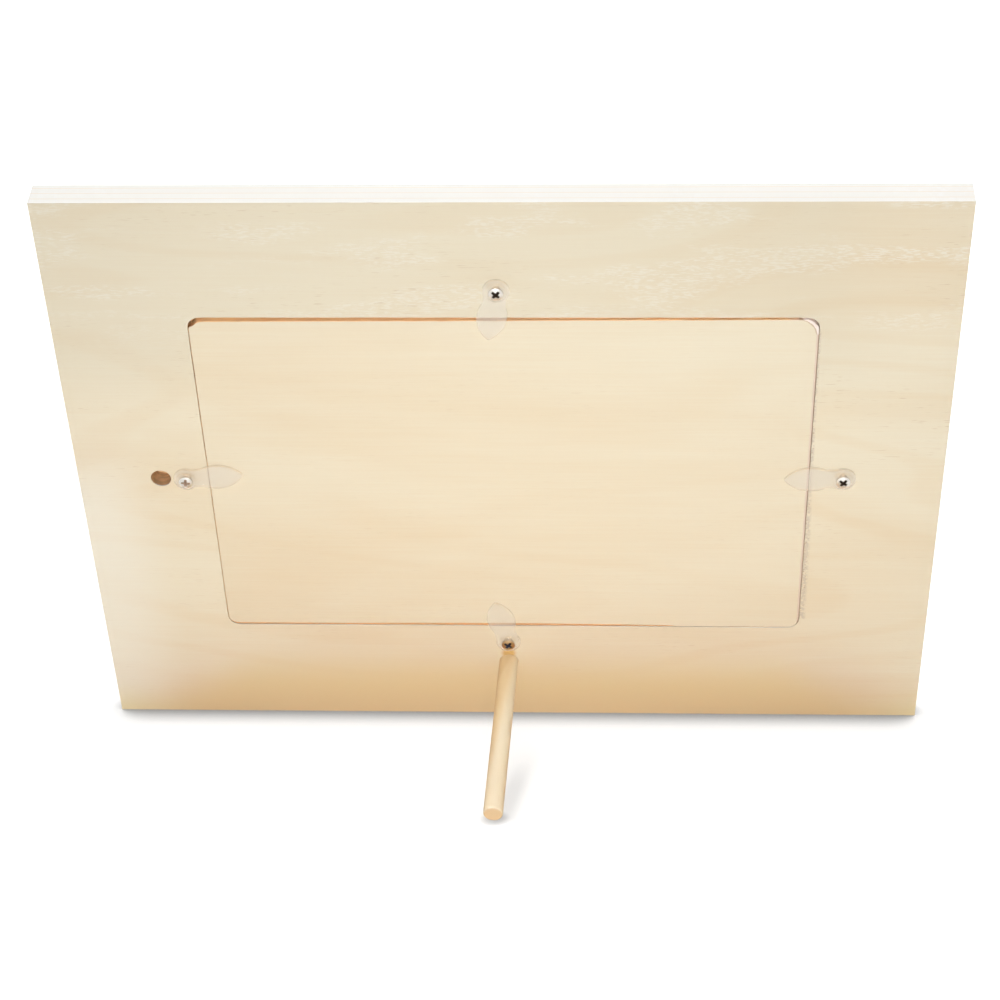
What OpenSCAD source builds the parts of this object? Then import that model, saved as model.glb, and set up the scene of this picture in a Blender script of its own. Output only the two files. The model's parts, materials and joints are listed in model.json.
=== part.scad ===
// Tabletop picture frame of pale plywood, seen here standing in landscape on its plug-in dowel leg.
// A clear pane, the picture and a loose back panel lie in a pocket routed into the board from
// behind, and four clear turn tabs, each on its own screw, keep them in. The leg can be moved
// from the hole near the bottom edge to the hole near one side, which stands the board upright.
//
// Pieces are drawn in the board's own axes: x along it, y through it from the front face to the
// back, and z up its face from the bottom edge. stand() then leans the whole frame back on its
// leg. Left and right are as seen from behind, where the tabs are worked, so left is +x.

/* [Board] */
// Length of the board
board_w = 228.6; // [200:0.2:260]
// Height of the board, up its own face
board_h = 177.8; // [160:0.2:220]
// Thickness of the board
board_t = 7.6; // [7:0.1:10]

/* [Pocket and sight window] */
// Length of the pocket in the back
pocket_w = 158.75; // [150:0.25:162]
// Height of the pocket in the back
pocket_h = 107.95; // [104:0.05:112]
// Radius that the cutter leaves in the corners of the pocket and of the window
cutter_r = 3.175; // [2:0.025:4]
// Width of the front lip that holds the pane in, all round
lip_w = 9.525; // [5:0.025:12]

/* [Pane and picture] */
// Thickness of the clear pane
pane_t = 1.5; // [1:0.1:2]
// Gap around the pane, enough for its square corners to clear the pocket's round ones
pane_gap = 1.2; // [1.2:0.05:2]
// Length of the picture card
card_w = 152.4; // [140:0.1:154]
// Height of the picture card
card_h = 101.6; // [95:0.1:103]
// Thickness of the picture card
card_t = 0.3; // [0.2:0.05:0.5]

/* [Back panel] */
// Thickness of the back panel
panel_t = 3; // [2:0.1:3.2]
// How far the panel lies below the board's back face
panel_sink = 0.15; // [0.1:0.05:0.4]
// Radius of the panel's top left corner
r_top_left = 3.6; // [3:0.1:8]
// Radius of the panel's top right corner
r_top_right = 3; // [3:0.1:8]
// Radius of the panel's bottom right corner
r_bottom_right = 1.8; // [1.8:0.1:8]
// Radius of the panel's bottom left corner
r_bottom_left = 2.6; // [2.4:0.1:8]
// Gap above the panel at its left end
gap_top_left = 1.3; // [0.1:0.05:1.5]
// Gap above the panel at its right end
gap_top_right = 0.65; // [0.1:0.05:1.5]
// Gap below the panel at its left end
gap_bottom_left = 0.5; // [0.1:0.05:1.5]
// Gap below the panel at its right end
gap_bottom_right = 0.15; // [0.1:0.05:1.5]
// Gap left of the panel at its top
gap_left_top = 0.5; // [0.1:0.05:1.5]
// Gap left of the panel at its bottom
gap_left_bottom = 0.15; // [0.1:0.05:1.5]
// Gap right of the panel, the same from top to bottom
gap_right = 0.6; // [0.1:0.05:1.5]

/* [Turn tabs] */
// Reach of a tab, from its screw to the tip of its blade
tab_reach = 15.4; // [14:0.1:17]
// Width of the leaf-shaped blade
blade_w = 7.7; // [6.5:0.1:9]
// Width of the neck between the blade and its round end
neck_w = 5.8; // [5:0.1:6.4]
// Thickness of the blade
blade_t = 1; // [0.8:0.1:1.4]
// Radius of the round end that the screw goes through
boss_r = 3.4; // [3:0.1:3.8]
// Radius of the raised ring under the screw head
ring_r = 2.7; // [2.4:0.1:2.9]
// Height of the raised ring above the wood
ring_h = 1.8; // [1.5:0.1:2.2]
// Play between a tab and what it turns against
tab_play = 0.05; // [0.02:0.01:0.1]

/* [Tab places] */
// Each tab has x and z of its screw, the angle from +x that its blade points to, and the turn of
// its screw's cross. The blades rest at the slightly careless angles that a hand leaves them at.
// Top tab
tab_top = [1.1, 151.6, -81, 42]; // [-180:0.1:180]
// Bottom tab
tab_bottom = [1.2, 29.3, 77.5, 34]; // [-180:0.1:180]
// Left tab
tab_left = [85.3, 89.4, 174, 4]; // [-180:0.1:180]
// Right tab
tab_right = [-88.2, 90.2, -1, 38]; // [-180:0.1:180]

/* [Screws] */
// Radius of the pan head
head_r = 1.8; // [1.6:0.05:2.2]
// Height of the low pan head
head_h = 0.6; // [0.6:0.05:1.4]
// Outer radius of the thread
thread_r = 1.09; // [1:0.01:1.2]
// Length under the head
screw_len = 6.35; // [5:0.05:7]
// Distance between thread ridges
thread_pitch = 0.9; // [0.7:0.05:1.2]

/* [Leg] */
// Radius of the dowel leg
leg_r = 2.65; // [2.4:0.05:3]
// Length of the leg outside the board
leg_out = 57.2; // [50:0.1:70]
// Depth of the leg in its hole
leg_plug = 5.1; // [4:0.1:5.2]
// Height of the leg above the bottom edge
leg_z = 20.9; // [18:0.1:24]
// Place of the leg along the board, from its middle
leg_x = 1.3; // [-3:0.1:3]
// Distance of the spare leg hole from the left edge
spare_inset = 22.1; // [18:0.1:24]
// Angle by which the leg's hole is drilled off square, towards the left
leg_skew = 2.3; // [0:0.1:3]

/* [Hidden] */
$fn = 64;
SMALL = 0.01;

hole_r = leg_r + 0.05;          // a push fit for the dowel
hole_depth = leg_plug + 0.2;    // leaves room under the end of the dowel
leg_chamfer = 0.4;
pilot_r = thread_r + 0.01;
pilot_spare = 0.2;              // how much deeper a pilot hole is than its screw
tab_bore_r = thread_r + 0.06;   // a running fit on the screw
root_gap = 1.1;                 // from the screw to where the blade's two arcs would meet
core_r = 0.78;                  // the screw's core, between the thread ridges
point_len = 1.1;                // the screw's point
cross_len = 2.35;               // cross recess of the screw head
cross_w = 0.6;
cross_depth = 0.4;

pane_w = pocket_w - 2 * pane_gap;
pane_h = pocket_h - 2 * pane_gap;
window_w = pocket_w - 2 * lip_w;
window_h = pocket_h - 2 * lip_w;

// The pocket's layers, counted from the front face
panel_y = board_t - panel_sink - panel_t;
card_y = panel_y - card_t;
pane_y = card_y - pane_t;       // also the thickness of the front lip

// The board's back arris and the leg's end both stand on the surface, and that sets the lean.
foot_reach = (leg_out - leg_chamfer) * cos(leg_skew);
lean = atan((leg_z - leg_r) / foot_reach);

// The leg's end reaches furthest back, so it sets the frame's depth.
leg_end_y = board_t + leg_out * cos(leg_skew);
frame_depth = leg_end_y * cos(lean) + (leg_z + leg_r - leg_chamfer) * sin(lean);

mid_z = board_h / 2;
spare_x = board_w / 2 - spare_inset;
spare_z = mid_z + 0.3;

TABS = [tab_top, tab_bottom, tab_left, tab_right];

// Leans the frame back on its leg, with the bottom centre of the whole frame at the origin.
module stand() {
    translate([0, -frame_depth / 2, board_t * sin(lean)])
        rotate([-lean, 0, 0])
            children();
}

// Puts what is drawn upwards from z = 0 on the board's back face, at x and z of the board.
module on_back(x, z) {
    translate([x, board_t, z])
        rotate([-90, 0, 0])
            children();
}

// A flat plate of w by h, centred on the middle of the board, from y to y + t.
module plate(w, h, y, t) {
    translate([-w / 2, y, mid_z - h / 2])
        cube([w, t, h]);
}

// The same plate with round corners.
module round_plate(w, h, y, t, r) {
    plate(w - 2 * r, h, y, t);
    plate(w, h - 2 * r, y, t);
    for (sx = [-1, 1], sz = [-1, 1])
        translate([sx * (w / 2 - r), y, mid_z + sz * (h / 2 - r)])
            rotate([-90, 0, 0])
                cylinder(r = r, h = t);
}

// A hole for the leg, drilled into the back at x and z.
module leg_hole(x, z, skew) {
    on_back(x, z)
        rotate([0, skew, 0])
            translate([0, 0, -hole_depth])
                cylinder(r = hole_r, h = 2 * hole_depth);
}

module frame_board() {
    pilot_depth = screw_len - ring_h - 2 * tab_play + pilot_spare;
    color("blanchedalmond")
        stand()
            difference() {
                plate(board_w, board_h, 0, board_t);
                round_plate(pocket_w, pocket_h, pane_y, board_t, cutter_r);
                round_plate(window_w, window_h, -SMALL, board_t, cutter_r);
                leg_hole(leg_x, leg_z, leg_skew);
                leg_hole(spare_x, spare_z, 0);
                for (tab = TABS)
                    on_back(tab[0], tab[1])
                        translate([0, 0, -pilot_depth])
                            cylinder(r = pilot_r, h = 2 * pilot_depth);
            }
}

module clear_pane() {
    color("lightcyan", 0.4)
        stand()
            plate(pane_w, pane_h, pane_y, pane_t);
}

module picture_card() {
    color("whitesmoke")
        stand()
            plate(card_w, card_h, card_y, card_t);
}

// A quarter circle that rounds a corner of the panel's outline, from an angle on.
function quarter(corner, r, start) =
    let (centre = corner - sqrt(2) * r * [cos(start + 45), sin(start + 45)])
    [for (a = [0:10:90]) centre + r * [cos(start + a), sin(start + a)]];

// The panel is cut a little out of square, so each of its corners has a radius and gaps of its own.
module back_panel() {
    left = pocket_w / 2;
    right = -pocket_w / 2 + gap_right;
    top = mid_z + pocket_h / 2;
    bottom = mid_z - pocket_h / 2;
    outline = concat(
        quarter([left - gap_left_top, top - gap_top_left], r_top_left, 0),
        quarter([right, top - gap_top_right], r_top_right, 90),
        quarter([right, bottom + gap_bottom_right], r_bottom_right, 180),
        quarter([left - gap_left_bottom, bottom + gap_bottom_left], r_bottom_left, 270));
    color("moccasin")
        stand()
            translate([0, panel_y + panel_t, 0])
                rotate([90, 0, 0])
                    linear_extrude(panel_t)
                        polygon(outline);
}

// A clear tab: a leaf-shaped blade on a round boss with a raised ring, bored for its screw.
module turn_tab(tab) {
    half_len = (tab_reach - root_gap) / 2;
    half_w = blade_w / 2;
    arc_r = (half_len * half_len + half_w * half_w) / (2 * half_w);
    color("aliceblue", 0.6)
        stand()
            on_back(tab[0], tab[1])
                rotate([0, 0, -tab[2]])
                    translate([0, 0, tab_play])
                        difference() {
                            union() {
                                intersection_for(side = [-1, 1])
                                    translate([root_gap + half_len, side * (arc_r - half_w), 0])
                                        cylinder(r = arc_r, h = blade_t, $fn = 128);
                                translate([0, -neck_w / 2, 0])
                                    cube([root_gap + half_len, neck_w, blade_t]);
                                cylinder(r = boss_r, h = blade_t);
                                cylinder(r = ring_r, h = ring_h);
                            }
                            translate([0, 0, -SMALL])
                                cylinder(r = tab_bore_r, h = ring_h + 2 * SMALL);
                        }
}

// A pan-head wood screw with a cross recess, plain where the tab turns on it and ridged below.
module tab_screw(tab) {
    seat = ring_h + 2 * tab_play;
    tip = seat - screw_len;
    ridges = floor((-tip - point_len) / thread_pitch);
    dome_r = (head_r * head_r + head_h * head_h / 4) / head_h;
    color("silver")
        stand()
            on_back(tab[0], tab[1]) {
                difference() {
                    translate([0, 0, seat])
                        intersection() {
                            cylinder(r = head_r, h = head_h);
                            translate([0, 0, head_h - dome_r])
                                sphere(r = dome_r, $fn = 96);
                        }
                    for (turn = [0, 90])
                        rotate([0, 0, turn - tab[3]])
                            translate([-cross_len / 2, -cross_w / 2, seat + head_h - cross_depth])
                                cube([cross_len, cross_w, head_h]);
                }
                cylinder(r = thread_r, h = seat);
                translate([0, 0, tip + point_len])
                    cylinder(r = core_r, h = -tip - point_len);
                translate([0, 0, tip])
                    cylinder(r1 = SMALL, r2 = core_r, h = point_len);
                for (i = [0:ridges - 1])
                    translate([0, 0, -(i + 1) * thread_pitch])
                        cylinder(r1 = core_r, r2 = thread_r, h = thread_pitch);
            }
}

module stand_leg() {
    leg_len = leg_plug + leg_out;
    color("burlywood")
        stand()
            on_back(leg_x, leg_z)
                rotate([0, leg_skew, 0])
                    translate([0, 0, -leg_plug])
                        rotate_extrude()
                            polygon([[0, 0],
                                     [leg_r - leg_chamfer, 0],
                                     [leg_r, leg_chamfer],
                                     [leg_r, leg_len - leg_chamfer],
                                     [leg_r - leg_chamfer, leg_len],
                                     [0, leg_len]]);
}

frame_board();
clear_pane();
picture_card();
back_panel();
turn_tab(tab_top);  // turn_tab_top
turn_tab(tab_bottom);  // turn_tab_bottom
turn_tab(tab_left);  // turn_tab_left
turn_tab(tab_right);  // turn_tab_right
tab_screw(tab_top);  // tab_screw_top
tab_screw(tab_bottom);  // tab_screw_bottom
tab_screw(tab_left);  // tab_screw_left
tab_screw(tab_right);  // tab_screw_right
stand_leg();
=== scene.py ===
import json
import math

import bmesh
import bpy
from mathutils import Matrix, Vector, noise


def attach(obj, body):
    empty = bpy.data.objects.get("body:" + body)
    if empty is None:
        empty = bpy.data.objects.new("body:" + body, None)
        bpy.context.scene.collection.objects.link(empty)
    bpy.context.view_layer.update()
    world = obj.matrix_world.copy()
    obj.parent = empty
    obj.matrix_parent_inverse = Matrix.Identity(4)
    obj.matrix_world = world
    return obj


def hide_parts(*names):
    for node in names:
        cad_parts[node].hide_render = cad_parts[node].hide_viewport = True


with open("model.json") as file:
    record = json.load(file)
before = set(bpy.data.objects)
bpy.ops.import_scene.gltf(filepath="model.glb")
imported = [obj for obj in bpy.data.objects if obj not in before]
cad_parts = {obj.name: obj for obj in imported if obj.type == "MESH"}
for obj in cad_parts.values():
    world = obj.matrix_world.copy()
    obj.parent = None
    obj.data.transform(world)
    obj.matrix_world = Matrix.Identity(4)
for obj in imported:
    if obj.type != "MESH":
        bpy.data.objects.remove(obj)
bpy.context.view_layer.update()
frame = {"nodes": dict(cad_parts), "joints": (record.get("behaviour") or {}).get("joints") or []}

MM = 0.001
TOUCH = 0.01 * MM  # a point this close to a face lies in it
SIDES = ("top", "bottom", "left", "right")
JOINTS = {joint["name"]: joint for joint in frame["joints"]}


# ---------------------------------------------------------------- places

def turned_box(node, turn):
    """Lowest and highest corner of a CAD node, measured along the axes of a turn."""
    points = [turn.inverted() @ v.co for v in frame["nodes"][node].data.vertices]
    low = Vector(min(p[i] for p in points) for i in range(3))
    high = Vector(max(p[i] for p in points) for i in range(3))
    return low, high


def board_axes():
    """The board's own axes: x along it, y from its front face to its back, z up its face.

    The tabs turn about the board's normal, so their joints give how far the board leans."""
    out = Vector(JOINTS["tab_top_turn"]["axis"])
    turn = Matrix.Rotation(math.atan2(out.z, out.y), 4, "X")
    low, high = turned_box("frame_board", turn)
    return turn @ Matrix.Translation(((low.x + high.x) / 2, low.y, low.z))


def leg_axes():
    """The leg's own axes: z along it, from its end in the board to its foot."""
    along = Vector(JOINTS["leg_pull"]["axis"])
    turn = along.to_track_quat("Z", "X").to_matrix().to_4x4()
    low, high = turned_box("stand_leg", turn)
    return turn @ Matrix.Translation(((low.x + high.x) / 2, (low.y + high.y) / 2, low.z))


BOARD = board_axes()
LEG = leg_axes()
LEG_LEN = turned_box("stand_leg", LEG)[1].z
BOARD_LOW, BOARD_HIGH = turned_box("frame_board", BOARD)
PANEL_LOW, PANEL_HIGH = turned_box("back_panel", BOARD)
CARD_LOW, CARD_HIGH = turned_box("picture_card", BOARD)
MIDDLE = (BOARD_LOW + BOARD_HIGH) / 2
THICK = BOARD_HIGH.y


def leg_root():
    """Where the leg's axis leaves the board's back face, in the board's axes."""
    inside, outside = (BOARD.inverted() @ LEG @ Vector((0, 0, z)) for z in (0, 1))
    return inside.lerp(outside, (THICK - inside.y) / (outside.y - inside.y))


def on_pocket_rim(point):
    """Whether a point of the board lies in its back face and no further out than the pocket."""
    return point.y > THICK - TOUCH and abs(point.x) < PANEL_HIGH.x + 2 * MM


def pocket_side():
    """Half the pocket's width."""
    points = [BOARD.inverted() @ v.co for v in frame["nodes"]["frame_board"].data.vertices]
    return max(abs(point.x) for point in points if on_pocket_rim(point))


ROOT = leg_root()
POCKET_SIDE = pocket_side()


# ---------------------------------------------------------------- camera

AIM_OFF_MIDDLE = (2.1 * MM, -7 * MM)  # along the board and up its back face
AIM_DISTANCE = 659.6 * MM
AIM_AZIMUTH = math.radians(182.97)
AIM_ELEVATION = math.radians(23.83)
AIM_ROLL = math.radians(-0.99)
LENS = 89.16


def add_camera():
    camera = bpy.data.objects.new("camera", bpy.data.cameras.new("camera"))
    bpy.context.scene.collection.objects.link(camera)
    aim = BOARD @ Vector((AIM_OFF_MIDDLE[0], THICK, MIDDLE.z + AIM_OFF_MIDDLE[1]))
    back = Vector((math.sin(AIM_AZIMUTH) * math.cos(AIM_ELEVATION),
                   -math.cos(AIM_AZIMUTH) * math.cos(AIM_ELEVATION),
                   math.sin(AIM_ELEVATION)))
    turn = (-back).to_track_quat("-Z", "Y").to_matrix().to_4x4()
    roll = Matrix.Rotation(AIM_ROLL, 4, "Z")
    camera.matrix_world = Matrix.Translation(aim + back * AIM_DISTANCE) @ turn @ roll
    camera.data.lens = LENS
    bpy.context.scene.camera = camera


# ---------------------------------------------------------------- shader nodes

class Shader:
    """One material. Each node is joined to what it reads as it is added."""

    def __init__(self, name, surface=None):
        self.material = bpy.data.materials.new(name)
        self.material.use_nodes = True
        self.tree = self.material.node_tree
        self.surface = self.tree.nodes["Principled BSDF"]
        coordinates = self.add("TexCoord")
        self.here = coordinates.outputs["Object"]
        self.facing = coordinates.outputs["Normal"]
        for socket, value in (surface or {}).items():
            self.surface.inputs[socket].default_value = value

    def add(self, kind, inputs=None, **settings):
        node = self.tree.nodes.new("ShaderNode" + kind)
        for name, value in settings.items():
            setattr(node, name, value)
        for socket, value in (inputs or {}).items():
            self.feed(node.inputs[socket], value)
        return node

    def feed(self, socket, value):
        if isinstance(value, bpy.types.NodeSocket):
            self.tree.links.new(value, socket)
        else:
            socket.default_value = value

    def calc(self, operation, a, b=0.0, clamp=False):
        return self.add("Math", {0: a, 1: b}, operation=operation, use_clamp=clamp).outputs[0]

    def times(self, *factors):
        """All factors multiplied together."""
        product = factors[0]
        for factor in factors[1:]:
            product = self.calc("MULTIPLY", product, factor)
        return product

    def apart(self, a, b):
        """How far apart two numbers are."""
        return self.calc("ABSOLUTE", self.calc("SUBTRACT", a, b))

    def hypotenuse(self, a, b):
        """Length of the diagonal of a and b."""
        return self.calc("SQRT", self.calc("ADD", self.times(a, a), self.times(b, b)))

    def distance(self, place):
        """How far a point of the surface is from a place."""
        return self.add("VectorMath", {0: self.here, 1: place}, operation="DISTANCE").outputs["Value"]

    def squareness(self, axis):
        """1 where the surface faces along axis 0, 1 or 2, either way, and 0 where it runs along it."""
        return self.calc("ABSOLUTE", self.axes(self.facing)[axis])

    def axes(self, vector):
        """A vector's x, y and z."""
        split = self.add("SeparateXYZ", {0: vector})
        return split.outputs[0], split.outputs[1], split.outputs[2]

    def fade(self, value, start, end):
        """0 where value is at start or short of it, 1 from end onwards, and smooth in between."""
        inputs = {"Value": value, "From Min": start, "From Max": end}
        return self.add("MapRange", inputs, interpolation_type="SMOOTHSTEP").outputs[0]

    def noise(self, per_mm, detail=2.0, roughness=0.5, distortion=0.0, shift=0.0):
        """Noise with so many lumps per millimetre along x, y and z."""
        scale = [n / MM for n in per_mm]
        place = self.add("VectorMath", {0: self.here, 1: scale, 2: [shift] * 3},
                         operation="MULTIPLY_ADD").outputs[0]
        inputs = {"Vector": place, "Scale": 1.0, "Detail": detail,
                  "Roughness": roughness, "Distortion": distortion}
        return self.add("TexNoise", inputs).outputs[0]

    def mix(self, factor, a, b):
        """Colour a where factor is 0 and colour b where it is 1."""
        inputs = {0: factor, 6: colour(a), 7: colour(b)}
        return self.add("Mix", inputs, data_type="RGBA").outputs[2]

    def choose(self, factor, a, b):
        """Number a where factor is 0 and number b where it is 1."""
        return self.add("Mix", {0: factor, 2: a, 3: b}, data_type="FLOAT").outputs[0]

    def bump(self, height, depth, strength=1.0):
        inputs = {"Height": height, "Distance": depth, "Strength": strength}
        self.feed(self.surface.inputs["Normal"], self.add("Bump", inputs).outputs[0])

    def paint(self, value):
        self.feed(self.surface.inputs["Base Color"], value)

    def rough(self, value):
        self.feed(self.surface.inputs["Roughness"], value)


def colour(value):
    """A socket as it is, or red, green and blue with an alpha of 1."""
    return value if isinstance(value, bpy.types.NodeSocket) else (*value, 1.0)


def darker(tint, share):
    return [channel * share for channel in tint]


# ---------------------------------------------------------------- wood

PALE = (0.73, 0.685, 0.555)
TAN = (0.66, 0.51, 0.32)
PORE = (0.42, 0.27, 0.14)
# pale raised fibres, and also painted light on the end by the spare hole
FUZZ_AND_PAINTED_LIGHT = (0.78, 0.76, 0.69)
# painted shade towards the top of the board
TOP_SHADE = (0.55, 0.51, 0.40)
# painted tan shade along the foot of the back face
FOOT_SHADE = (0.70, 0.61, 0.37)
# painted shadow of a screw head, on the board above the leg and on the leg's root
SCREW_SHADOW = (0.55, 0.33, 0.10)
# painted light on the edges that face up
EDGE_TOP_LIGHT = (0.69, 0.71, 0.73)
EDGE_SIDE = (0.72, 0.63, 0.48)
# painted shade inside the pocket, orange, and paler on its torn side
POCKET_WALL_SHADE = (1.0, 0.66, 0.32)
TORN_WALL_SHADE = (1.0, 0.82, 0.68)
TORN_FACE = (0.46, 0.40, 0.33)
# painted shade in the spare hole
HOLE_SHADE = (0.66, 0.38, 0.17)

# Where the board's look changes, along it or up its face: from none of it to all of it
FIBRES_UP = (128 * MM, 150 * MM)
TOP_SHADE_UP = (108 * MM, 135 * MM)
TOP_SHADE_ALONG = (-105 * MM, -70 * MM)
END_LIGHT_ALONG = (90 * MM, 110 * MM)
END_LIGHT_UP = (115 * MM, 75 * MM)
ENDS_ALONG = (70 * MM, 105 * MM)
FOOT_SHADE_UP = (28 * MM, 9 * MM)
FOOT_SHADE_DROP = 14 * MM              # how much lower the painted tan shade of the foot lies at the board's ends
# size of the painted shadow of the screw head
SCREW_SHADOW_R = (2.6 * MM, 1.0 * MM)
SCREW_SHADOW_UP = 3.2 * MM              # from the middle of the leg's hole
TORN_UP = (PANEL_HIGH.z - 15 * MM, PANEL_LOW.z + 10 * MM)
TORN_WIDTH = (0.7 * MM, 1.8 * MM)  # at its upper end, and at its lower end
TORN_SHORT = 3 * MM              # how far from the panel's ends the torn strip stops
RIGHT_WALL = (-70 * MM, -76 * MM)
SPARE_HOLE = (82 * MM, 84 * MM)
GLUE_LINES = (1.3 * MM, 3.5 * MM, 5.8 * MM)  # depths from the front face
GLUE_HALF = (0.16 * MM, 0.04 * MM)
INSIDE = 3 * MM                  # how far within the board's outline a surface is a cut one
BLEND = 0.5 * MM


def veneer(shader, along, figure, pores, shift=0.0):
    """Colour and height of pale wood whose grain runs along axis 0, 1 or 2.

    Figure is how strongly its arches show, and pores how strongly its dark dashes do."""

    def grain(lengthwise, across, **more):
        per_mm = [across] * 3
        per_mm[along] = lengthwise
        return shader.noise(per_mm, shift=shift, **more)

    drift = shader.fade(grain(0.008, 0.03, detail=3.0, distortion=0.6), 0.35, 0.75)
    arch = shader.calc("SINE", shader.times(grain(0.005, 0.02, detail=1.0), 60.0))
    arch = shader.times(shader.fade(arch, 0.3, 1.0), figure)
    fibre = grain(0.04, 2.2, detail=4.0, roughness=0.6)
    dashes = shader.fade(grain(0.25, 3.4, detail=1.0), 0.64, 0.76)
    clusters = shader.fade(grain(0.015, 0.06, detail=1.0), 0.4, 0.65)
    dashes = shader.times(dashes, clusters, pores)
    tan_share = shader.calc("ADD", shader.times(drift, 0.3), arch)
    tan_share = shader.calc("ADD", tan_share, shader.times(fibre, 0.35), clamp=True)
    tint = shader.mix(dashes, shader.mix(tan_share, PALE, TAN), PORE)
    return tint, shader.calc("SUBTRACT", shader.times(fibre, 0.5), dashes)


def ply_layers(shader):
    """Colour and height of the plies: the grain of the outer two runs along the board."""
    y = shader.axes(shader.here)[1]
    outer_tint, outer_height = veneer(shader, 0, 0.12, 0.45)
    inner_tint, inner_height = veneer(shader, 2, 0.1, 0.2, shift=5.0)
    inner = shader.times(shader.calc("GREATER_THAN", y, GLUE_LINES[0]),
                         shader.calc("LESS_THAN", y, GLUE_LINES[-1]))
    tint = shader.mix(inner, outer_tint, inner_tint)
    return tint, shader.choose(inner, outer_height, inner_height)


def on_back(shader):
    """1 in the board's back face."""
    return shader.calc("GREATER_THAN", shader.axes(shader.here)[1], THICK - 0.1 * MM)


def raised_fibres(shader, tint):
    """Fibres that catch the light, in patches along the board's upper edge."""
    z = shader.axes(shader.here)[2]
    patches = shader.fade(shader.noise((0.03, 0.03, 0.12), detail=2.0, shift=7.0), 0.48, 0.6)
    strands = shader.fade(shader.noise((0.6, 0.6, 3.0), detail=2.0), 0.45, 0.65)
    return shader.mix(shader.times(patches, strands, shader.fade(z, *FIBRES_UP), 0.6), tint, FUZZ_AND_PAINTED_LIGHT)


def torn_veneer(shader, tint):
    """Veneer torn beside one wall of the pocket, wider lower down, with dark splinters."""
    x, y, z = shader.axes(shader.here)
    beside = shader.calc("SUBTRACT", 0.1 * MM - POCKET_SIDE, x)
    width = shader.choose(shader.fade(z, *TORN_UP), *TORN_WIDTH)
    torn = shader.fade(shader.calc("DIVIDE", beside, width), 1.2, 0.5)
    half = (PANEL_HIGH.z - PANEL_LOW.z) / 2 - TORN_SHORT
    torn = shader.times(torn, shader.calc("GREATER_THAN", beside, 0.0),
                        shader.calc("LESS_THAN", shader.apart(z, MIDDLE.z), half), on_back(shader))
    ragged = shader.fade(shader.noise((1.5, 1.5, 1.1), detail=3.0, shift=9.0), 0.35, 0.6)
    tint = shader.mix(shader.times(torn, ragged, 0.6), tint, TORN_FACE)
    splinters = shader.fade(shader.noise((1.6, 1.6, 2.4), detail=1.0, shift=13.0), 0.60, 0.68)
    return shader.mix(shader.times(torn, splinters, 0.6), tint, PORE)


def painted_shading(shader, tint):
    """Painted light and shade: a painted shadow of the screw above the leg, painted shade at the top,
    painted light on the end by the spare hole, and painted tan shade along the foot.
    """
    x, y, z = shader.axes(shader.here)
    # painted shadow of the screw head, just above the leg
    screw_shadow = shader.fade(shader.distance(ROOT + Vector((0, 0, SCREW_SHADOW_UP))), *SCREW_SHADOW_R)
    tint = shader.mix(shader.times(screw_shadow, on_back(shader)), tint, SCREW_SHADOW)
    # painted shade towards the top, less of it towards one end
    dim = shader.times(shader.fade(z, *TOP_SHADE_UP), shader.fade(x, *TOP_SHADE_ALONG), 0.3)
    tint = shader.mix(dim, tint, TOP_SHADE)
    # painted light on the end by the spare hole
    pale = shader.times(shader.fade(x, *END_LIGHT_ALONG), shader.fade(z, *END_LIGHT_UP), 0.48)
    tint = shader.mix(pale, tint, FUZZ_AND_PAINTED_LIGHT)
    # painted tan shade along the foot, lower at the board's ends
    ends = shader.fade(shader.calc("ABSOLUTE", x), *ENDS_ALONG)
    raised = shader.calc("ADD", z, shader.times(ends, FOOT_SHADE_DROP))
    low = shader.times(shader.fade(raised, *FOOT_SHADE_UP), shader.fade(y, THICK / 2, THICK))
    return shader.mix(low, tint, FOOT_SHADE)


def sawn_edges(shader, tint):
    """Edges that show the glue between their plies, with painted light where they face up."""
    y = shader.axes(shader.here)[1]
    on_edge = shader.fade(shader.squareness(1), 0.8, 0.5)
    on_top = shader.fade(shader.axes(shader.facing)[2], 0.5, 0.9)
    # painted light on edges that face up
    tint = shader.mix(shader.times(on_edge, 0.75), tint, shader.mix(on_top, EDGE_SIDE, EDGE_TOP_LIGHT))
    glue = 0.0
    for line in GLUE_LINES:
        glue = shader.calc("MAXIMUM", shader.fade(shader.apart(y, line), *GLUE_HALF), glue)
    return shader.mix(shader.times(glue, on_edge, 0.5), tint, TAN)


def cut_walls(shader, tint):
    """Surfaces inside the board, in painted shade: orange in the pocket, paler on its torn side, and
    dark brown in the spare hole.
    """
    x, y, z = shader.axes(shader.here)
    half_x = BOARD_HIGH.x - INSIDE
    half_z = MIDDLE.z - INSIDE
    cut = shader.times(shader.fade(shader.calc("ABSOLUTE", x), half_x, half_x - BLEND),
                       shader.fade(shader.apart(z, MIDDLE.z), half_z, half_z - BLEND),
                       shader.fade(shader.apart(y, MIDDLE.y), THICK / 2 - 0.1 * MM, THICK / 2 - BLEND))
    # painted shade on the pocket walls
    walls = shader.mix(shader.fade(x, *RIGHT_WALL), POCKET_WALL_SHADE, TORN_WALL_SHADE)
    # painted shade in the spare hole, patchy
    hole_patches = shader.fade(shader.noise((0.3, 1.2, 1.2), detail=2.0), 0.35, 0.65)
    hole_shade = shader.mix(hole_patches, HOLE_SHADE, darker(HOLE_SHADE, 0.7))
    walls = shader.mix(shader.fade(x, *SPARE_HOLE), walls, hole_shade)
    return shader.mix(shader.times(cut, 0.9), tint, walls)


def plywood():
    """Raw plywood, as a solid: its plies lie one behind the other from the front face."""
    shader = Shader("board_plywood")
    tint, height = ply_layers(shader)
    for layer in (raised_fibres, torn_veneer, painted_shading, sawn_edges, cut_walls):
        tint = layer(shader, tint)
    shader.paint(tint)
    shader.rough(shader.choose(height, 0.6, 0.8))
    shader.bump(height, 0.08 * MM, 0.6)
    return shader.material


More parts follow.
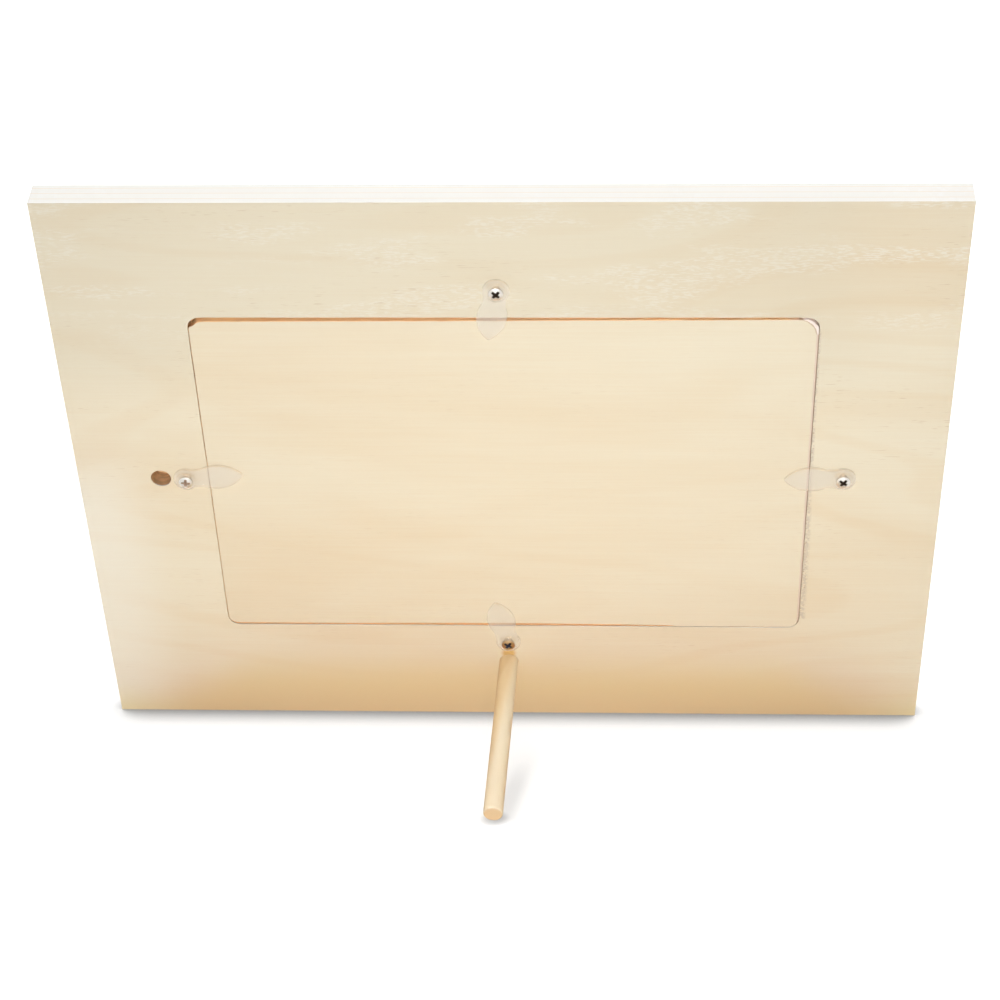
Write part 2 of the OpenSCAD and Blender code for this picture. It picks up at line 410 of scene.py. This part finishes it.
# painted shade of the gap on the panel's cut edges
PANEL_EDGE_SHADE = (0.86, 0.57, 0.29)
PANEL_EDGE_RIGHT_SHADE = (0.66, 0.44, 0.35)
# painted shade: dark dashes in the gap on one side
DASH_SHADE = (0.46, 0.25, 0.11)
# painted shade: a strip on the panel's face beside the gap on the other side
RIGHT_STRIP_SHADE = (0.62, 0.48, 0.40)
CHIPPED = (0.84, 0.75, 0.70)

DASH_SHADE_ALONG = (77 * MM, 78.2 * MM)
DASH_SHADE_UP = (60 * MM, 80 * MM)
# where the edges get less painted shade
LESS_SHADE_LEFT = ((55 * MM, 75 * MM), (75 * MM, 55 * MM))    # along the board, and up its face
LESS_SHADE_RIGHT = ((-35 * MM, -55 * MM), (40 * MM, 37 * MM))
RIGHT_STRIP_SHADE_ALONG = (PANEL_LOW.x + 0.15 * MM, PANEL_LOW.x - 0.1 * MM)
CHIP_R = 5.0 * MM
CHIP_IN = (0.1 * MM, 0.5 * MM)
CRACK_HALF = (0.22 * MM, 0.08 * MM)


def cut_edges(shader, tint):
    """Edges in the painted orange shade of the gap, with painted darker dashes on one side, a painted
    shade strip beside the other, and less of it low down.
    """
    x, y, z = shader.axes(shader.here)
    # painted shade of the gap on the panel's edges
    edge = shader.mix(shader.fade(x, *RIGHT_WALL), PANEL_EDGE_SHADE, PANEL_EDGE_RIGHT_SHADE)
    # painted darker dashes of shade on one side
    dash_shade = shader.fade(shader.noise((0.02, 0.02, 0.45), detail=2.0), 0.44, 0.56)
    dash_shade = shader.times(dash_shade, shader.fade(x, *DASH_SHADE_ALONG), shader.fade(z, *DASH_SHADE_UP))
    edge = shader.mix(dash_shade, edge, DASH_SHADE)
    # less painted shade low down
    less_shade = [shader.times(shader.fade(x, *along), shader.fade(z, *up))
             for along, up in (LESS_SHADE_LEFT, LESS_SHADE_RIGHT)]
    share = shader.choose(shader.calc("MAXIMUM", *less_shade), 0.9, 0.3)
    on_edge = shader.fade(shader.squareness(1), 0.985, 0.85)
    tint = shader.mix(shader.times(on_edge, share), tint, edge)
    # painted shade strip beside the gap on the other side
    return shader.mix(shader.times(shader.fade(x, *RIGHT_STRIP_SHADE_ALONG), 0.75), tint, RIGHT_STRIP_SHADE)


def chipped_corner(shader, tint):
    """An upper corner with its veneer chipped off outside a dark, jagged crack."""
    x, y, z = shader.axes(shader.here)
    off_x = shader.calc("SUBTRACT", PANEL_LOW.x + CHIP_R, x)
    off_z = shader.calc("SUBTRACT", z, PANEL_HIGH.z - CHIP_R)
    jagged = shader.times(shader.noise((1.5, 1.5, 1.5), detail=2.0), 0.4 * MM)
    off = shader.calc("ADD", shader.hypotenuse(off_x, off_z), jagged)
    in_corner = shader.fade(shader.calc("MINIMUM", off_x, off_z), *CHIP_IN)
    chip = shader.fade(off, CHIP_R + 0.1 * MM, CHIP_R + 0.3 * MM)
    crack = shader.fade(shader.apart(off, CHIP_R + 0.15 * MM), *CRACK_HALF)
    tint = shader.mix(shader.times(chip, in_corner), tint, CHIPPED)
    return shader.mix(shader.times(crack, in_corner, 0.6), tint, PORE)


def panel_wood():
    """Veneer with painted shade on its cut edges and a chipped corner."""
    shader = Shader("panel_veneer")
    tint, height = veneer(shader, 0, 0.05, 0.1, shift=11.0)
    shader.paint(chipped_corner(shader, cut_edges(shader, tint)))
    shader.rough(shader.choose(height, 0.6, 0.76))
    shader.bump(height, 0.05 * MM, 0.5)
    return shader.material


DOWEL_PALE = (0.93, 0.82, 0.64)
DOWEL_END = (0.66, 0.49, 0.30)
# the leg's own browner wood, with painted shade on one side towards the board
HEARTWOOD_AND_SHADE = (0.77, 0.57, 0.31)
HEART_ALONG = (58 * MM, 26 * MM)
HEART_WANDER = 30 * MM
HEART_SHADE_SLANT = 7.0         # how much further the brown, partly painted shade, reaches for each millimetre along y
# painted shadow of the screw on the leg's root
ROOT_SHADOW_WIDE = 3.1 * MM    # below the leg's axis, at its end in the board
ROOT_SHADOW_NARROWS = 0.35     # for each millimetre along the leg
ROOT_SHADOW_FADE = (-0.4 * MM, 1.0 * MM)


def dowel_wood():
    """Birch along the leg's own z, browner towards the board in its own tone and in painted shade on one
    side, with a painted shadow of the screw there and dark ends.
    """
    shader = Shader("dowel_birch", {"Roughness": 0.6})
    tint, height = veneer(shader, 2, 0.25, 0.3, shift=3.0)
    tint = shader.mix(0.55, tint, DOWEL_PALE)
    x, y, z = shader.axes(shader.here)
    # browner towards the board: the wood's own tone, with painted shade slanting onto one side
    wander = shader.times(shader.noise((0.25, 0.25, 0.03), detail=2.0), HEART_WANDER)
    wander = shader.calc("SUBTRACT", wander, shader.times(y, HEART_SHADE_SLANT))
    brown_and_shade = shader.fade(shader.calc("ADD", z, wander), *HEART_ALONG)
    tint = shader.mix(shader.times(brown_and_shade, 0.8), tint, HEARTWOOD_AND_SHADE)
    # painted shadow of the screw on the leg's root
    wide = shader.calc("SUBTRACT", shader.calc("ADD", y, ROOT_SHADOW_WIDE), shader.times(z, ROOT_SHADOW_NARROWS))
    tint = shader.mix(shader.times(shader.fade(wide, *ROOT_SHADOW_FADE), 0.22), tint, SCREW_SHADOW)
    on_end = shader.fade(shader.squareness(2), 0.6, 0.9)
    shader.paint(shader.mix(shader.times(on_end, 0.7), tint, DOWEL_END))
    shader.bump(height, 0.05 * MM, 0.5)
    return shader.material


# ---------------------------------------------------------------- other materials

TAB_FACE = (0.68, 0.65, 0.60)
# painted highlight on the tab's walls
TAB_WALL_HIGHLIGHT = (1.0, 0.92, 0.80)
# painted tan shade on the tab's walls that face up
TAB_UPPER_WALL_SHADE = (0.72, 0.47, 0.26)
PANE_TINT = (0.97, 0.99, 0.99)


def clear_plastic():
    """Thin clear plastic, whose walls carry a painted highlight, with painted tan shade on the walls
    that face up.
    """
    shader = Shader("tab_plastic", {"Alpha": 0.26, "IOR": 1.49})
    flat = shader.fade(shader.squareness(1), 0.5, 0.95)
    # painted highlight on the walls, and painted tan shade on those that face up
    upper = shader.fade(shader.axes(shader.facing)[2], 0.2, 0.7)
    wall = shader.mix(upper, TAB_WALL_HIGHLIGHT, TAB_UPPER_WALL_SHADE)
    shader.paint(shader.mix(flat, wall, TAB_FACE))
    flow = shader.noise((0.25, 0.25, 0.25), detail=2.0)
    shader.rough(shader.choose(flow, 0.08, 0.28))
    shader.bump(flow, 0.03 * MM, 0.3)
    return shader.material


def acrylic():
    """A clear sheet, faintly smeared."""
    shader = Shader("pane_acrylic", {"Base Color": colour(PANE_TINT),
                                     "Transmission Weight": 1.0, "IOR": 1.49})
    smear = shader.noise((0.03, 0.03, 0.08), detail=3.0)
    shader.rough(shader.choose(smear, 0.0, 0.06))
    return shader.material


SKY_LOW = (0.85, 0.66, 0.45)
SKY_HIGH = (0.20, 0.42, 0.68)
SKY_UP = (45 * MM, 100 * MM)
SUNLIGHT = (0.95, 0.85, 0.55)
SUN = (28 * MM, 78 * MM)  # from the middle of the card, and above its lower edge
SUN_R = (9 * MM, 8 * MM)
PAPER_DARK = (0.74, 0.73, 0.69)
PAPER_LIGHT = (0.84, 0.83, 0.80)
CARD_MARGIN = 4 * MM
HILLS = (  # height, swing, lumps per mm and colour of each range, from the far one to the near one
    (38 * MM, 34 * MM, 0.025, (0.28, 0.40, 0.47)),
    (22 * MM, 32 * MM, 0.018, (0.16, 0.30, 0.24)),
    (4 * MM, 34 * MM, 0.012, (0.20, 0.26, 0.09)),
)


def card_print():
    """Paper with a plain landscape on its front: sky, sun, three ranges of hills, a white margin."""
    shader = Shader("card_print")
    x, y, z = shader.axes(shader.here)
    up = shader.calc("SUBTRACT", z, CARD_LOW.z)
    tint = shader.mix(shader.fade(up, *SKY_UP), SKY_LOW, SKY_HIGH)
    from_sun = shader.hypotenuse(shader.calc("SUBTRACT", x, SUN[0]), shader.calc("SUBTRACT", up, SUN[1]))
    tint = shader.mix(shader.fade(from_sun, *SUN_R), tint, SUNLIGHT)
    for height, swing, lumps, paint in HILLS:
        crest = shader.noise((lumps, 0, 0), detail=3.0, shift=height / MM)
        crest = shader.calc("ADD", shader.times(crest, swing), height)
        tint = shader.mix(shader.fade(shader.calc("SUBTRACT", crest, up), 0, 0.3 * MM), tint, paint)
    half = (CARD_HIGH - CARD_LOW) / 2 - Vector((1, 0, 1)) * CARD_MARGIN
    inked = shader.times(shader.calc("LESS_THAN", shader.calc("ABSOLUTE", x), half.x),
                         shader.calc("LESS_THAN", shader.apart(up, half.z + CARD_MARGIN), half.z))
    on_front = shader.fade(shader.axes(shader.facing)[1], -0.5, -0.9)
    fibre = shader.noise((0.8, 0.8, 0.8), detail=4.0, roughness=0.7)
    paper = shader.mix(fibre, PAPER_DARK, PAPER_LIGHT)
    shader.paint(shader.mix(shader.times(inked, on_front), paper, tint))
    shader.rough(shader.choose(fibre, 0.35, 0.55))
    shader.bump(fibre, 0.02 * MM, 0.3)
    return shader.material


HEAD_H = 0.6 * MM
RIM_SHARE = 0.3         # how much of the head's height its upright rim takes
THREAD_R = 1.09 * MM
THREAD_PITCH = 0.9 * MM
CORE_R = 0.78 * MM
RIDGE_SHARE = 0.3       # how much of the pitch each flank of the thread takes
NECK_FADE = 0.5 * MM    # how far below the wood's face the thread runs out into the neck
POINT_LEN = 1.1 * MM
SHANK_RINGS = 84
SCREW_ANGLES = [math.tau * i / 36 for i in range(36)]
CROSS_LEN = 3.4 * MM
CROSS_W = 0.95 * MM
CROSS_DEPTH = 0.65 * MM
BIT_TAPER = 0.35
CROSS_TURNS = {"top": -42, "bottom": -34, "left": -4, "right": -38}

NICKEL = (0.93, 0.92, 0.89)
# the bottom screw's brown plating is a painted reflection of the leg and the wood around it
PLATING_AND_REFLECTION = {"top": NICKEL, "bottom": (0.62, 0.46, 0.28), "left": NICKEL, "right": NICKEL}
# painted shade inside the cross recesses
RECESS_SHADE = (0.05, 0.035, 0.025)
RECESS_SHADES = {"top": RECESS_SHADE, "bottom": (0.06, 0.065, 0.09), "left": (0.40, 0.30, 0.23), "right": RECESS_SHADE}
NECK_LIGHT = (0.80, 0.69, 0.52)  # painted light of the wood around it, on the neck where the tab turns on it
RECESS_SUNK = (0.06 * MM, 0.14 * MM)
RECESS_OUT = (0.9, 0.84)         # shares of the head's radius
NECK_BELOW = 0.05 * MM
NECK_OUT = (0.7 * MM, 0.75 * MM)  # further from the axis than the floor of the recess


def nickel(side, top, head_r):
    """Bright plating, dull and in painted dark shade inside the cross recess, and painted light on the
    neck.

    Top is the height of the screw head's crown along the screw's own axis."""
    shader = Shader("nickel_plate_" + side)
    wear = shader.noise((1.5, 1.5, 1.5), detail=3.0)
    x, y, z = shader.axes(shader.here)
    off_axis = shader.calc("ADD", shader.times(x, x), shader.times(y, y))  # squared
    dome_h = (1 - RIM_SHARE) * HEAD_H
    dome_r = (head_r ** 2 + dome_h ** 2) / (2 * dome_h)
    dome = shader.calc("SUBTRACT", top, shader.calc("DIVIDE", off_axis, 2 * dome_r))
    sunk = shader.fade(shader.calc("SUBTRACT", dome, z), *RECESS_SUNK)
    inside = shader.fade(off_axis, *[(share * head_r) ** 2 for share in RECESS_OUT])
    recess = shader.times(sunk, inside)
    seat = top - HEAD_H
    neck = shader.times(shader.fade(z, seat, seat - NECK_BELOW),
                        shader.fade(off_axis, *[reach ** 2 for reach in NECK_OUT]))
    # plating, with a painted reflection of the wood on the bottom screw
    plate = shader.mix(wear, darker(PLATING_AND_REFLECTION[side], 0.86), PLATING_AND_REFLECTION[side])
    # painted shade inside the cross recess
    plate = shader.mix(recess, plate, RECESS_SHADES[side])
    # painted light on the neck
    shader.paint(shader.mix(neck, plate, NECK_LIGHT))
    shader.feed(shader.surface.inputs["Metallic"], shader.calc("SUBTRACT", 1.0, neck))
    shader.rough(shader.choose(recess, shader.choose(wear, 0.3, 0.45), 0.7))
    return shader.material


# ---------------------------------------------------------------- meshes

LONG_EDGE = 20 * MM     # of a pocket or a panel, and longer than any edge of a hole
SHARP = math.radians(60)
FRAY_STEP = 0.8 * MM
FRAY_DEPTH = 0.12 * MM
SPLINTER = 3 * MM
SLIT = 0.02 * MM        # left open between the panel's face and the sides of its pocket
HOLLOW = 0.4 * MM       # how far the panel's lower edge is cut in at its middle
HOLLOW_REACH = 45 * MM
CORNER_DROP = 0.1 * MM  # how much lower that edge lies at the end beyond the hollow


def cad_mesh(node, axes):
    """A CAD node's mesh as a new bmesh in the given axes, with its flat faces whole."""
    shape = bmesh.new()
    shape.from_mesh(frame["nodes"][node].data)
    shape.transform(axes.inverted())
    bmesh.ops.remove_doubles(shape, verts=shape.verts, dist=0.001 * MM)
    bmesh.ops.dissolve_limit(shape, angle_limit=math.radians(1),
                             verts=shape.verts, edges=shape.edges)
    return shape


def add_piece(name, shape, axes, material, body, node):
    """Makes an object of a bmesh in the given axes, in place of a CAD node."""
    mesh = bpy.data.meshes.new(name)
    shape.to_mesh(mesh)
    shape.free()
    for face in mesh.polygons:
        face.use_smooth = True
    mesh.materials.append(material)
    piece = bpy.data.objects.new(name, mesh)
    piece.matrix_world = axes
    bpy.context.scene.collection.objects.link(piece)
    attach(piece, body)
    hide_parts(node)
    return piece


def round_edges(piece, width, segments=2):
    """Rounds every edge sharper than a facet of a cylinder."""
    bevel = piece.modifiers.new("rounded_edges", "BEVEL")
    bevel.width = width
    bevel.segments = segments
    bevel.limit_method = "ANGLE"
    bevel.angle_limit = math.radians(30)
    level = piece.modifiers.new("level_faces", "WEIGHTED_NORMAL")
    level.weight = 100
    return piece


def fray(shape, chosen, outwards):
    """Cuts long straight edges of a pocket or a panel into short stretches and moves the new points
    a little, away from the middle of the board (1) or towards it (-1), as a blunt cutter does."""
    by_length = {}
    for edge in [edge for edge in shape.edges if edge.calc_length() > LONG_EDGE]:
        if edge.calc_face_angle() > SHARP and all(chosen(v.co) for v in edge.verts):
            by_length.setdefault(round(edge.calc_length() / FRAY_STEP), []).append(edge)
    for cuts, edges in sorted(by_length.items()):
        along = 0 if abs((edges[0].verts[0].co - edges[0].verts[1].co).x) > FRAY_STEP else 2
        made = bmesh.ops.subdivide_edges(shape, edges=edges, cuts=cuts, use_grid_fill=True)
        for vert in {v for v in made["geom_inner"] if isinstance(v, bmesh.types.BMVert)}:
            across = 2 - along
            away = math.copysign(1, vert.co[across] - MIDDLE[across]) * outwards
            nick = noise.noise(vert.co / FRAY_STEP) ** 2 + abs(noise.noise(vert.co / FRAY_STEP / 6))
            vert.co[across] += away * FRAY_DEPTH * min(1.0, nick)


def add_board(material):
    shape = cad_mesh("frame_board", BOARD)
    fray(shape, on_pocket_rim, 1)
    board = add_piece("plywood_board", shape, BOARD, material, "frame", "frame_board")
    round_edges(board, 0.25 * MM, 3)


def fit_to_pocket(shape):
    """Lets the panel's face reach nearly to the sides of its pocket, and cuts its lower edge in."""
    for vert in shape.verts:
        if vert.co.y < PANEL_HIGH.y - TOUCH:
            continue
        gap = POCKET_SIDE - abs(vert.co.x)
        from_end = PANEL_HIGH.z - MIDDLE.z - abs(vert.co.z - MIDDLE.z)
        if gap < 1 * MM and from_end > 0:
            share = min(1.0, from_end / SPLINTER)
            share *= 0.98 + 0.04 * min(0.5, noise.noise(vert.co / SPLINTER))
            vert.co.x += math.copysign(max(0.0, gap - SLIT) * share, vert.co.x)
        elif vert.co.z < PANEL_LOW.z + 1 * MM:
            vert.co.z += HOLLOW * max(0.0, 1 - (vert.co.x / HOLLOW_REACH) ** 2)
            if vert.co.x < -HOLLOW_REACH:
                vert.co.z = min(vert.co.z, PANEL_LOW.z - CORNER_DROP)


def add_panel(material):
    shape = cad_mesh("back_panel", BOARD)
    fray(shape, lambda point: True, -1)
    fit_to_pocket(shape)
    panel = add_piece("loose_panel", shape, BOARD, material, "frame", "back_panel")
    round_edges(panel, 0.35 * MM, 3)


def add_pane(material):
    shape = cad_mesh("clear_pane", BOARD)
    pane = add_piece("acrylic_pane", shape, BOARD, material, "frame", "clear_pane")
    round_edges(pane, 0.15 * MM, 2)


def add_card(material):
    shape = cad_mesh("picture_card", BOARD)
    card = add_piece("print_card", shape, BOARD, material, "frame", "picture_card")
    round_edges(card, 0.05 * MM, 2)


def add_tab(side, material):
    shape = cad_mesh("turn_tab_" + side, BOARD)
    tab = add_piece("clear_tab_" + side, shape, BOARD, material,
                    "tab_" + side, "turn_tab_" + side)
    round_edges(tab, 0.2 * MM, 3)
    tab.visible_shadow = False  # thin clear plastic takes next to no light from the wood


def screw_radius(z, angle, tip):
    """Radius of the screw under its head, with its thread as a helix and its point."""
    phase = (z / THREAD_PITCH - angle / math.tau) % 1
    ridge = max(0.0, 1 - abs(phase - 0.5) / RIDGE_SHARE)
    plain = min(1.0, max(0.0, z / NECK_FADE + 1))  # the neck that the tab turns on
    radius = CORE_R + (THREAD_R - CORE_R) * max(ridge, plain)
    return radius * min(1.0, ((z - tip) / POINT_LEN) ** 0.7)


def screw_shape(seat, top, tip, head_r):
    """A threaded screw, closed, with a plain pan head: rings of points from its tip upwards."""
    stations = [tip + (seat - tip) * i / SHANK_RINGS for i in range(SHANK_RINGS + 1)]
    rings = [[(screw_radius(z, angle, tip), z) for angle in SCREW_ANGLES] for z in stations]
    dome_z = seat + RIM_SHARE * (top - seat)
    dome_r = (head_r ** 2 + (top - dome_z) ** 2) / (2 * (top - dome_z))
    crown = [head_r * math.sin(math.radians(degrees)) for degrees in range(82, 0, -6)]
    head = [(head_r * 0.97, seat), (head_r, seat + 0.04 * MM), (head_r, dome_z)]
    head += [(r, top - dome_r + math.sqrt(dome_r ** 2 - r ** 2)) for r in crown]
    rings += [[point] * len(SCREW_ANGLES) for point in head]

    shape = bmesh.new()
    made = [[shape.verts.new((r * math.cos(a), r * math.sin(a), z))
             for a, (r, z) in zip(SCREW_ANGLES, ring)] for ring in rings]
    for lower, upper in zip(made, made[1:]):
        for i in range(len(lower)):
            shape.faces.new((lower[i - 1], lower[i], upper[i], upper[i - 1]))
    shape.faces.new(made[-1])
    bmesh.ops.remove_doubles(shape, verts=made[0], dist=0.01 * MM)
    bmesh.ops.recalc_face_normals(shape, faces=shape.faces)
    return shape


def cross_bit(top, turn):
    """What the cross recess takes out of a screw head: two wings that narrow downwards."""
    shape = bmesh.new()
    for wing in (0, 90):
        corners = bmesh.ops.create_cube(shape, size=1.0)["verts"]
        spin = Matrix.Rotation(math.radians(wing + turn), 3, "Z")
        for corner in corners:
            share = 1.0 if corner.co.z > 0 else BIT_TAPER
            z = top + 0.05 * MM if corner.co.z > 0 else top - CROSS_DEPTH
            corner.co = spin @ Vector((corner.co.x * CROSS_LEN * share,
                                       corner.co.y * CROSS_W * share, z))
    return shape


def carved(shape, tool):
    """A bmesh less another."""
    objects = []
    for part in (shape, tool):
        mesh = bpy.data.meshes.new("carving")
        part.to_mesh(mesh)
        part.free()
        objects.append(bpy.data.objects.new("carving", mesh))
        bpy.context.scene.collection.objects.link(objects[-1])
    cut = objects[0].modifiers.new("cut", "BOOLEAN")
    cut.operation = "DIFFERENCE"
    cut.solver = "EXACT"
    cut.use_self = True
    cut.object = objects[1]
    left = bmesh.new()
    left.from_object(objects[0], bpy.context.evaluated_depsgraph_get())
    for made in objects:
        bpy.data.meshes.remove(made.data)
    return left


def add_screw(side):
    node = "tab_screw_" + side
    low, high = turned_box(node, BOARD)
    middle = (low + high) / 2
    head_r = (high.x - low.x) / 2
    outwards = Matrix.Rotation(-math.pi / 2, 4, "X")
    axes = BOARD @ Matrix.Translation((middle.x, THICK, middle.z)) @ outwards
    top, tip = high.y - THICK, low.y - THICK
    shape = carved(screw_shape(top - HEAD_H, top, tip, head_r), cross_bit(top, CROSS_TURNS[side]))
    screw = add_piece("cross_screw_" + side, shape, axes, nickel(side, top, head_r),
                      "frame", node)
    round_edges(screw, 0.03 * MM, 2)


def add_leg(material):
    shape = cad_mesh("stand_leg", LEG)
    leg = add_piece("dowel_leg", shape, LEG, material, "leg", "stand_leg")
    round_edges(leg, 0.25 * MM, 3)
    leg.visible_shadow = False  # the board shows none, and the floor's is painted by leg_shadow


# ---------------------------------------------------------------- studio

WHITE = (1, 1, 1)
AMBIENT = (0.26, 0.235, 0.20)
FLOOR_WHITE = (0.85, 0.85, 0.85)
# painted warm bounce of the wood on the floor near the frame
FLOOR_WARM_BOUNCE = (0.76, 0.52, 0.22)
# painted shade on the floor under the frame's lean
FLOOR_UNDER_SHADE = (0.55, 0.17, 0.0)

FLOOR_HALF = 4.0                 # metres
CONTACT = 12 * MM                # how near something has to be for its contact shadow
WARM_REACH = 85 * MM
WARM_SHAPE = (0.55, 1.0, 1.0)    # longer along the frame than across it
UNDER_REACH = 42 * MM
UNDER_ALONG = (125 * MM, 85 * MM)
LIFT = 0.86                      # glow of the floor by the frame, which the lamps bring to white
LIFT_FADE = (0.25, 0.5)          # metres from the frame, where the lift goes up to full white

# The leg's soft shadow, from none of it to all of it, measured inwards from the leg's end
SHADOW_START = (-2 * MM, 3 * MM)
SHADOW_END = (46 * MM, 16 * MM)
SHADOW_HALF = (6 * MM, 0.5 * MM)
SHADOW_SIDE = 2 * MM             # how far beside the leg's end its middle lies
SHADOW_TURN = 0.12               # how much further for each millimetre inwards
UNDER_FOOT = (5 * MM, 1.5 * MM)
UNDER_FOOT_IN = 2 * MM

SOFTBOXES = {  # place in metres, power in watts, size in metres, spread in degrees
    "top_light": ((0.0, 0.0, 1.3), 11.5, 1.0, 180),
    "side_light": ((0.35, 0.35, 1.2), 1.7, 1.0, 180),
    "front_light": ((-0.5, -1.1, 0.7), 5.0, 0.8, 180),
    "fill_light": ((0.0, 1.1, 0.3), 0.44, 0.4, 30),
}


def seen_by_camera(tree):
    """1 for what the camera sees directly, and 0 for light on its way."""
    return tree.nodes.new("ShaderNodeLightPath").outputs["Is Camera Ray"]


def add_world():
    """A dim surround that looks white where the camera sees it."""
    world = bpy.data.worlds.new("studio")
    bpy.context.scene.world = world
    world.use_nodes = True
    tree = world.node_tree
    background = tree.nodes["Background"]
    light = tree.nodes.new("ShaderNodeMix")
    light.data_type = "RGBA"
    light.inputs[6].default_value = colour(AMBIENT)
    light.inputs[7].default_value = colour(WHITE)
    tree.links.new(seen_by_camera(tree), light.inputs[0])
    tree.links.new(light.outputs[2], background.inputs["Color"])


def floor_tint(shader):
    """Colour of the floor in the light it throws back: painted warm bounce near the frame, and painted
    shade under its lean.
    """
    x, y, z = shader.axes(shader.here)
    squeezed = shader.add("VectorMath", {0: shader.here, 1: WARM_SHAPE}, operation="MULTIPLY").outputs[0]
    from_frame = shader.add("VectorMath", {0: squeezed}, operation="LENGTH").outputs["Value"]
    # painted warm bounce near the frame
    warm = shader.mix(shader.fade(from_frame, WARM_REACH, WARM_REACH / 4), FLOOR_WHITE, FLOOR_WARM_BOUNCE)
    foot = BOARD @ Vector((0, THICK, 0))
    # painted shade under the lean
    under = shader.times(shader.fade(shader.apart(y, foot.y), UNDER_REACH, UNDER_REACH / 5),
                         shader.fade(shader.calc("ABSOLUTE", x), *UNDER_ALONG))
    return shader.mix(under, warm, FLOOR_UNDER_SHADE)


def leg_shadow(shader):
    """How dark the leg's soft shadow is, beside the leg and under its foot."""
    x, y, z = shader.axes(shader.here)
    tip = LEG @ Vector((0, 0, LEG_LEN))
    inwards = shader.calc("SUBTRACT", tip.y, y)
    sideways = LEG.col[2].x / LEG.col[2].y + SHADOW_TURN
    middle = shader.calc("SUBTRACT", tip.x - SHADOW_SIDE, shader.times(inwards, sideways))
    strip = shader.times(shader.fade(shader.apart(x, middle), *SHADOW_HALF),
                         shader.fade(inwards, *SHADOW_START), shader.fade(inwards, *SHADOW_END))
    under = shader.fade(shader.distance((tip.x, tip.y - UNDER_FOOT_IN, 0)), *UNDER_FOOT)
    return shader.calc("ADD", shader.times(strip, 0.24), shader.times(under, 0.3))


def floor_paper():
    """White paper, lifted to full white for the camera wherever nothing stands close to it.

    For all other light it is a matt floor that throws warm light back at the frame."""
    shader = Shader("floor_paper", {"Roughness": 1.0})
    shader.paint(floor_tint(shader))
    near = shader.add("AmbientOcclusion", {"Distance": CONTACT}, samples=16).outputs["AO"]
    open_share = shader.calc("SUBTRACT", shader.fade(near, 0.03, 0.9), leg_shadow(shader), clamp=True)
    from_middle = shader.add("VectorMath", {0: shader.here}, operation="LENGTH").outputs["Value"]
    level = shader.choose(shader.fade(from_middle, *LIFT_FADE), LIFT, 1.0)
    lift = shader.add("Emission", {"Color": colour(WHITE), "Strength": shader.times(open_share, level)})
    lit = shader.add("BsdfDiffuse", {"Color": shader.times(open_share, 0.25)})
    both = shader.add("AddShader", {0: lift.outputs[0], 1: lit.outputs[0]})
    seen = shader.add("MixShader", {0: seen_by_camera(shader.tree),
                                    1: shader.surface.outputs[0], 2: both.outputs[0]})
    shader.feed(shader.tree.nodes["Material Output"].inputs["Surface"], seen.outputs[0])
    return shader.material


def add_floor():
    shape = bmesh.new()
    bmesh.ops.create_grid(shape, x_segments=1, y_segments=1, size=FLOOR_HALF)
    mesh = bpy.data.meshes.new("floor")
    shape.to_mesh(mesh)
    shape.free()
    mesh.materials.append(floor_paper())
    floor = bpy.data.objects.new("floor", mesh)
    bpy.context.scene.collection.objects.link(floor)


def add_softbox(name, place, power, size, spread):
    """A square lamp that shines from a place at the middle of the frame."""
    lamp = bpy.data.lights.new(name, "AREA")
    lamp.energy = power
    lamp.size = size
    lamp.spread = math.radians(spread)
    softbox = bpy.data.objects.new(name, lamp)
    aim = BOARD @ Vector((0, THICK, MIDDLE.z))
    turn = (aim - Vector(place)).to_track_quat("-Z", "Y").to_matrix().to_4x4()
    softbox.matrix_world = Matrix.Translation(place) @ turn
    bpy.context.scene.collection.objects.link(softbox)


def add_studio():
    add_world()
    add_floor()
    for name, (place, power, size, spread) in SOFTBOXES.items():
        add_softbox(name, place, power, size, spread)
    bpy.context.scene.view_settings.view_transform = "Standard"


add_camera()
add_board(plywood())
add_panel(panel_wood())
add_pane(acrylic())
add_card(card_print())
tab_material = clear_plastic()
for side in SIDES:
    add_tab(side, tab_material)
    add_screw(side)
add_leg(dowel_wood())
add_studio()
